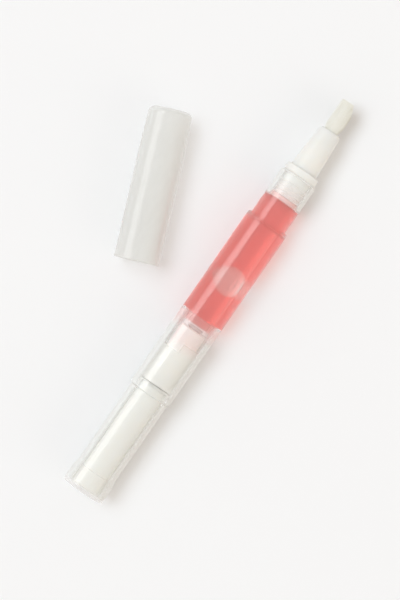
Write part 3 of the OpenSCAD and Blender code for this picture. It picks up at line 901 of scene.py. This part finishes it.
@dataclass
class Filling:
    """The oil: one long stretch in the barrel, one in the taper and neck, and one in the piston's cup.

    Lengths are in millimetres.

    Attributes:
        lap: How far the oil reaches into what holds it, so that no film of air shows between them.
        gap: Space between one stretch and the next.
        bore_r: Radius of the barrel's bore.
        neck_r: Radius of the neck's bore.
        cup_floor: Station of the floor of the piston's cup.
        cup_floor_r: Radius of the cup there.
        cup_mouth_r: Radius of its mouth.
        piston_front: Station of the piston's front.
        seam: Station where the column's rear meets the cup's oil.
        taper_back: Station where the bore starts to taper, the column's front.
        taper_front: Station where the neck's bore begins.
        plug_rear: Station of the plug's rear end.
        plug_r: Radius of the plug there.
        film_front: Station that the oil reaches round the plug.
        travel: How far the piston comes on. Not used.
        bubble_at: Station of the bubble's middle, and its place across the pen.
        bubble_r: The bubble's radius along and across the pen.
        bubble_deep: How far it reaches down from the bore's upper wall.
        bubble_edge: How far its rim drops away from that wall.
        bubble_round: How square its sides are, where 2 would be an ellipse.
        bubble_sides: Number of its flat sides round and down.
        joint_near: How near to a joint's station a face lies that belongs to it.
        joint_square: The least part along the pen of the normal of such a face.
    """

    lap: float = 0.03
    gap: float = 0.01
    bore_r: float = 5.0
    neck_r: float = 4.1
    cup_floor: float = 51.85
    cup_floor_r: float = 3.9
    cup_mouth_r: float = 4.1
    piston_front: float = 54.0
    seam: float = 54.3
    taper_back: float = 82.7
    taper_front: float = 83.6
    plug_rear: float = 90.4
    plug_r: float = 3.5
    film_front: float = 91.62
    travel: float = 28.0
    bubble_at: tuple[float, float] = (65.95, -0.6)
    bubble_r: tuple[float, float] = (4.0, 3.8)
    bubble_deep: float = 6.4
    bubble_edge: float = 0.7
    bubble_round: float = 5.0
    bubble_sides: tuple[int, int] = (96, 64)
    joint_near: float = 0.005
    joint_square: float = 0.99

    def mark(self, piece: bpy.types.Object, chosen: Callable[[bpy.types.MeshPolygon], bool]) -> None:
        """Marks the faces of the oil that show no gloss.

        Args:
            piece: The stretch of oil.
            chosen: Says of a face whether it gets the mark.
        """
        mark = piece.data.attributes.new(JOINT_MARK, "FLOAT", "FACE")
        for face in piece.data.polygons:
            mark.data[face.index].value = 1.0 if chosen(face) else 0.0

    def at_joint(self, face: bpy.types.MeshPolygon, *stations: float) -> bool:
        """Says whether a face is a flat one where one stretch of oil meets the next.

        Args:
            face: The face.
            stations: Where the stretch's joints lie along the pen.

        Returns:
            Whether it is.
        """
        near = any(abs(face.center.x / MM - station) < self.joint_near for station in stations)
        return near and abs(face.normal.x) > self.joint_square

    def in_bubble(self, face: bpy.types.MeshPolygon) -> bool:
        """Says whether a face is the bubble's, where only the missing oil is to show.

        Args:
            face: The face.

        Returns:
            Whether it lies within the bubble's outline, above its lowest point and under the wall.
        """
        x, y, z = face.center / MM
        along = (x - self.bubble_at[0]) / self.bubble_r[0]
        across = (y - self.bubble_at[1]) / self.bubble_r[1]
        high_enough = self.bore_r - self.bubble_deep - self.lap < z < self.bore_r - self.lap
        return high_enough and math.hypot(along, across) <= 1.0

    def mesh(self) -> list[bpy.types.Object]:
        """Makes the three stretches of oil.

        Returns:
            The column, the neck and the cup.
        """
        r = self.bore_r + self.lap
        column = revolve("oil_column", [
            (self.seam, 0), (self.seam, r), (self.taper_back, r), (self.taper_back, 0)])
        bubble = self.bubble()
        column = settle(joined([column, bubble]))
        neck_r, plug_r = self.neck_r + self.lap, self.plug_r - self.lap
        start, plug = self.taper_back + self.gap, self.plug_rear + self.lap
        neck = settle(revolve("oil_neck", [
            (start, 0), (start, r), (self.taper_front + self.lap, neck_r), (self.film_front, neck_r),
            (self.film_front, plug_r), (plug, plug_r), (plug, 0)]))
        floor, lip, front = self.cup_floor - self.lap, self.piston_front - self.lap, self.seam - self.gap
        cup = settle(revolve("oil_cup", [
            (floor, 0), (floor, self.cup_floor_r + self.lap), (lip, self.cup_mouth_r + self.lap),
            (lip, r), (front, r), (front, 0)]))
        ends = self.seam, self.taper_back
        self.mark(column, lambda face: self.in_bubble(face) or self.at_joint(face, *ends))
        self.mark(neck, lambda face: self.at_joint(face, start))
        self.mark(cup, lambda face: True)
        return [column, neck, cup]

    def bubble(self) -> bpy.types.Object:
        """Makes the air bubble, a hollow in the oil whose top follows the barrel's upper wall.

        Returns:
            The bubble, inside out, to be joined to the oil round it.
        """
        deselect()
        segments, rings = self.bubble_sides
        bpy.ops.mesh.primitive_uv_sphere_add(segments=segments, ring_count=rings, radius=1,
                                             location=(0, 0, 0))
        piece = bpy.context.object
        piece.name = "oil_bubble"
        for vertex in piece.data.vertices:
            u, v, w = vertex.co
            y = self.bubble_at[1] + v * self.bubble_r[1]
            wall = math.sqrt((self.bore_r - self.lap) ** 2 - y * y)
            share = max(0.0, 1 - math.hypot(u, v) ** self.bubble_round) ** (1 / self.bubble_round)
            z = wall - self.bubble_edge * (1 - share) - (self.bubble_deep * share if w < 0 else 0.0)
            vertex.co = Vector((self.bubble_at[0] + u * self.bubble_r[0], y, z)) * MM
        with edit_mode():
            bpy.ops.mesh.normals_make_consistent(inside=True)
        return piece

    def dress(self, pieces: Sequence[bpy.types.Object]) -> None:
        """Puts the oil on its bodies.

        Args:
            pieces: The column, the neck and the cup.
        """
        column, neck, cup = pieces
        hand_over(column, "barrel", Stuff.OIL, ["oil"])
        hand_over(neck, "barrel", Stuff.NECK_OIL)
        hand_over(cup, "piston", Stuff.OIL)
        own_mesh(column)


@dataclass
class Brush:
    """The tuft: fine strands in a round bundle, cut at a slant on one side.

    Lengths are in millimetres.

    Attributes:
        strands: Number of strands.
        strand_r: Radius of a strand.
        root_x: Station of the strands' lower ends.
        grip_x: Station where the tuft leaves the cone's nose.
        tip_x: Station of the longest tips.
        root_r: Radius of the bundle at its root.
        tip_r: Radius of the bundle where it is open.
        flare: Length over which it opens.
        slant: How much shorter the strands are on the slanted side.
        slant_from: Where the slant starts, as a part of the radius.
        uneven: How much shorter a strand can be than its place asks for.
        stray: How far a tip strays, as a rule.
        bow: How far a strand bows, as a rule.
        tip_from: The part of a strand's length where its rounded tip begins.
        tip_share: The tip's part of the strand's radius.
        rings: Number of stretches that a strand bends in.
        sides: Number of its flat sides.
        smooth_angle: Edges sharper than this many degrees stay sharp.
        seed: Start of the random draws.
    """

    strands: int = 900
    strand_r: float = 0.062
    root_x: float = 108.9
    grip_x: float = 112.6
    tip_x: float = 121.4
    root_r: float = 1.68
    tip_r: float = 2.28
    flare: float = 1.3
    slant: float = 3.1
    slant_from: float = 0.45
    uneven: float = 0.35
    stray: float = 0.035
    bow: float = 0.03
    tip_from: float = 0.9
    tip_share: float = 0.8
    rings: int = 5
    sides: int = 5
    smooth_angle: float = 60.0
    seed: int = 11

    def spots(self) -> list[tuple[float, float]]:
        """Where the strands stand in the bundle, as parts of its radius.

        Returns:
            Their places across it, set out as a sunflower's seeds are.
        """
        turn = math.pi * (3 - math.sqrt(5))
        spots = []
        for k in range(self.strands):
            r = math.sqrt((k + 0.5) / self.strands)
            spots.append((r * math.cos(k * turn), r * math.sin(k * turn)))
        return spots

    def strand(self) -> bpy.types.Object:
        """Makes a straight strand of unit length along X, with rings to bend at.

        Returns:
            The strand.
        """
        deselect()
        bpy.ops.mesh.primitive_cylinder_add(vertices=self.sides, radius=1, depth=1, end_fill_type="NGON",
                                            location=(0.5, 0, 0), rotation=(0, math.pi / 2, 0))
        piece = bpy.context.object
        bpy.ops.object.transform_apply(location=True, rotation=True, scale=True)
        with edit_mode():
            for k in range(1, self.rings):
                bpy.ops.mesh.select_all(action="SELECT")
                bpy.ops.mesh.bisect(plane_co=(k / self.rings, 0, 0), plane_no=(1, 0, 0))
        return piece

    def mesh(self) -> bpy.types.Object:
        """Makes the tuft from copies of one strand.

        Returns:
            The tuft.
        """
        draw = random.Random(self.seed)
        pattern = self.strand()
        copies = []
        for u, v in self.spots():
            copies.append(put("brush_strand", pattern.data.copy()))
            self.place_strand(copies[-1], u, v, draw)
        bpy.data.objects.remove(pattern)
        tuft = joined(copies)
        tuft.name = tuft.data.name = "brush_tuft"
        return tuft

    def place_strand(self, piece: bpy.types.Object, u: float, v: float, draw: random.Random) -> None:
        """Bends one strand into its place.

        Args:
            piece: The strand.
            u: Its place across the bundle, along Y, as a part of the radius.
            v: Its place along Z, likewise.
            draw: The source of small differences.
        """
        cut = max(0.0, -u - self.slant_from) / (1 - self.slant_from)
        end = self.tip_x - self.slant * cut - self.uneven * draw.random() ** 2
        stray_y, stray_z = draw.gauss(0, self.stray), draw.gauss(0, self.stray)
        bow = draw.gauss(0, self.bow)
        shade = draw.random()
        for vertex in piece.data.vertices:
            s = vertex.co.x
            x = self.root_x + (end - self.root_x) * s
            t = max(0.0, (x - self.grip_x) / (self.tip_x - self.grip_x))
            open_share = min(1.0, max(0.0, (x - self.grip_x) / self.flare))
            spread = self.root_r + (self.tip_r - self.root_r) * math.sin(open_share * math.pi / 2)
            r = self.strand_r * (1.0 if s < self.tip_from else self.tip_share)
            y = u * spread + stray_y * t + bow * math.sin(math.pi * t) + vertex.co.y * r
            z = v * spread + stray_z * t + vertex.co.z * r
            vertex.co = Vector((x, y, z)) * MM
        mark = piece.data.attributes.new(STRAND_MARK, "FLOAT", "POINT")
        for value in mark.data:
            value.value = shade

    def dress(self, tuft: bpy.types.Object) -> None:
        """Settles the tuft and puts it on the barrel."""
        settle(tuft, self.smooth_angle)
        hand_over(tuft, "barrel", Stuff.BRISTLE, ["bristles"])


@dataclass
class Pen:
    """The pen's moulded pieces, which keep their CAD shapes.

    Attributes:
        looks: The CAD nodes that each finish goes on.
    """

    looks: dict[Stuff, tuple[str, ...]] = field(default_factory=lambda: {
        Stuff.CLEAR: ("barrel_tube",),
        Stuff.GRIP: ("knob_shell",),
        Stuff.WHITE: ("nozzle_plug", "brush_holder"),
        Stuff.CORE: ("drive_sleeve", "guide_nut"),
        Stuff.NATURAL: ("guide_sleeve", "feed_tube", "ratchet_ring", "drive_key", "click_ring",
                        "piston_core"),
        Stuff.ROD: ("screw_rod",),
        Stuff.END: ("knob_end_plug",),
        Stuff.PISTON: ("piston_seal",),
        Stuff.METAL: ("tuft_collar",),
        Stuff.FROSTED: ("cap_shell",),
    })

    def dress(self) -> None:
        """Gives each CAD node its finish."""
        for stuff, names in self.looks.items():
            dress(names, stuff)


@dataclass
class Lamp:
    """A square lamp, placed by its direction from the pen.

    Attributes:
        name: The lamp's name.
        lean: Degrees from straight up.
        bearing: Degrees round from +X, seen from above.
        wide: Width in the direction of the lean, in metres.
        long: Length across the lean, in metres.
        glow: Its brightness, where 1 is white.
        far: Distance from the pen, in metres.
        colour: Its colour.
        shines: Whether it lights what it shines on.
        mirrored: Whether it shows in gloss and glass.
    """

    name: str
    lean: float
    bearing: float
    wide: float
    long: float
    glow: float
    far: float = 5.0
    colour: Colour = (1.0, 1.0, 1.0)
    shines: bool = True
    mirrored: bool = True

    def add(self, target: Vector) -> None:
        """Adds the lamp.

        Args:
            target: The point that it faces.
        """
        light = bpy.data.lights.new(self.name, "AREA")
        light.shape = "RECTANGLE"
        light.size, light.size_y = self.long, self.wide
        light.energy = self.glow * math.pi * self.wide * self.long
        light.color = self.colour
        lamp = put(self.name, light)
        a, b = math.radians(self.lean), math.radians(self.bearing)
        out = Vector((math.sin(a) * math.cos(b), math.sin(a) * math.sin(b), math.cos(a)))
        across = Vector((-math.sin(b), math.cos(b), 0))
        turn = Matrix((across, out.cross(across), out)).transposed()
        lamp.matrix_world = Matrix.Translation(target + out * self.far) @ turn.to_4x4()
        lamp.visible_camera = False
        lamp.visible_diffuse = self.shines
        lamp.visible_glossy = self.mirrored
        lamp.visible_transmission = self.mirrored


@dataclass
class Studio:
    """The floor, the lamps and the camera. Lengths are in millimetres, unless they say otherwise.

    Attributes:
        floor_z: Height of the floor, where the flange and the cap rest on it.
        floor_size: Width of the floor, in metres.
        target: The point that the camera and the lamps face.
        camera_far: The camera's distance from it.
        view_high: What the picture's long side takes in at that distance.
        pen_lean: Degrees between the pen and the picture's long side.
        sensor: Width of the camera's sensor.
        clip: The nearest and farthest that the camera sees, in metres.
        sky: The colour of the light from all round.
        backdrop: What the camera sees past the floor, where 1 is white.
        lamps: The lamps. The strip shows only as a reflection, and the other two only as light.
    """

    floor_z: float = -6.0
    floor_size: float = 12.0
    target: Point = (57.70, 3.09, 0.0)
    camera_far: float = 750.0
    view_high: float = 154.8
    pen_lean: float = 34.66
    sensor: float = 36.0
    clip: tuple[float, float] = (0.01, 50.0)
    sky: Colour = (0.664, 0.610, 0.560)
    backdrop: float = 0.905
    lamps: tuple[Lamp, ...] = (
        Lamp("key_lamp", lean=27, bearing=90, wide=2.3, long=3.2, glow=4.7,
             colour=(0.867, 1.0, 1.127), mirrored=False),
        Lamp("fill_lamp", lean=62, bearing=-90, wide=2.5, long=3.5, glow=1.1,
             colour=(1.0, 0.95, 0.88), mirrored=False),
        Lamp("strip_lamp", lean=52, bearing=90, wide=3.1, long=5.0, glow=2.2, shines=False),
    )

    def build(self) -> None:
        """Makes the floor, the world, the lamps and the camera."""
        centre = Vector(self.target) * MM
        self.add_floor()
        self.add_world()
        for lamp in self.lamps:
            lamp.add(centre)
        self.add_camera(centre)
        bpy.context.scene.view_settings.view_transform = "Standard"

    def add_floor(self) -> None:
        """Makes the floor."""
        deselect()
        bpy.ops.mesh.primitive_plane_add(size=self.floor_size, location=(0, 0, self.floor_z * MM))
        floor = bpy.context.object
        floor.name = "studio_floor"
        floor.data.materials.append(PaperFloor().material("floor_finish"))

    def add_world(self) -> None:
        """Makes the light from all round, and the pale backdrop that only the camera sees."""
        world = bpy.data.worlds.new("studio_world")
        bpy.context.scene.world = world
        book = NodeBook(world)
        seen = book.ray("Is Camera Ray").top(book.ray("Is Transmission Ray"))
        light = book.add("ShaderNodeBackground", {}, {"Color": self.sky, "Strength": 1.0})
        back = book.add("ShaderNodeBackground", {}, {"Color": (self.backdrop,) * 3, "Strength": 1.0})
        book.surface(book.mixed(seen, light, back))

    def add_camera(self, centre: Vector) -> None:
        """Makes the camera, straight above the pen.

        Args:
            centre: The point under it.
        """
        data = bpy.data.cameras.new("camera")
        data.sensor_width = self.sensor
        data.lens = self.sensor * self.camera_far / self.view_high
        data.clip_start, data.clip_end = self.clip
        camera = put("camera", data)
        camera.location = centre + Vector((0, 0, self.camera_far * MM))
        camera.rotation_euler = (0, 0, math.radians(self.pen_lean - 90))
        bpy.context.scene.camera = camera


def main() -> None:
    """Builds the dressed pen and its studio, in order."""
    logging.basicConfig(level=logging.INFO, format="%(name)s: %(message)s")
    Studio().build()
    Pen().dress()
    filling = Filling()
    filling.dress(filling.mesh())
    brush = Brush()
    brush.dress(brush.mesh())


if __name__ == "__main__":
    main()
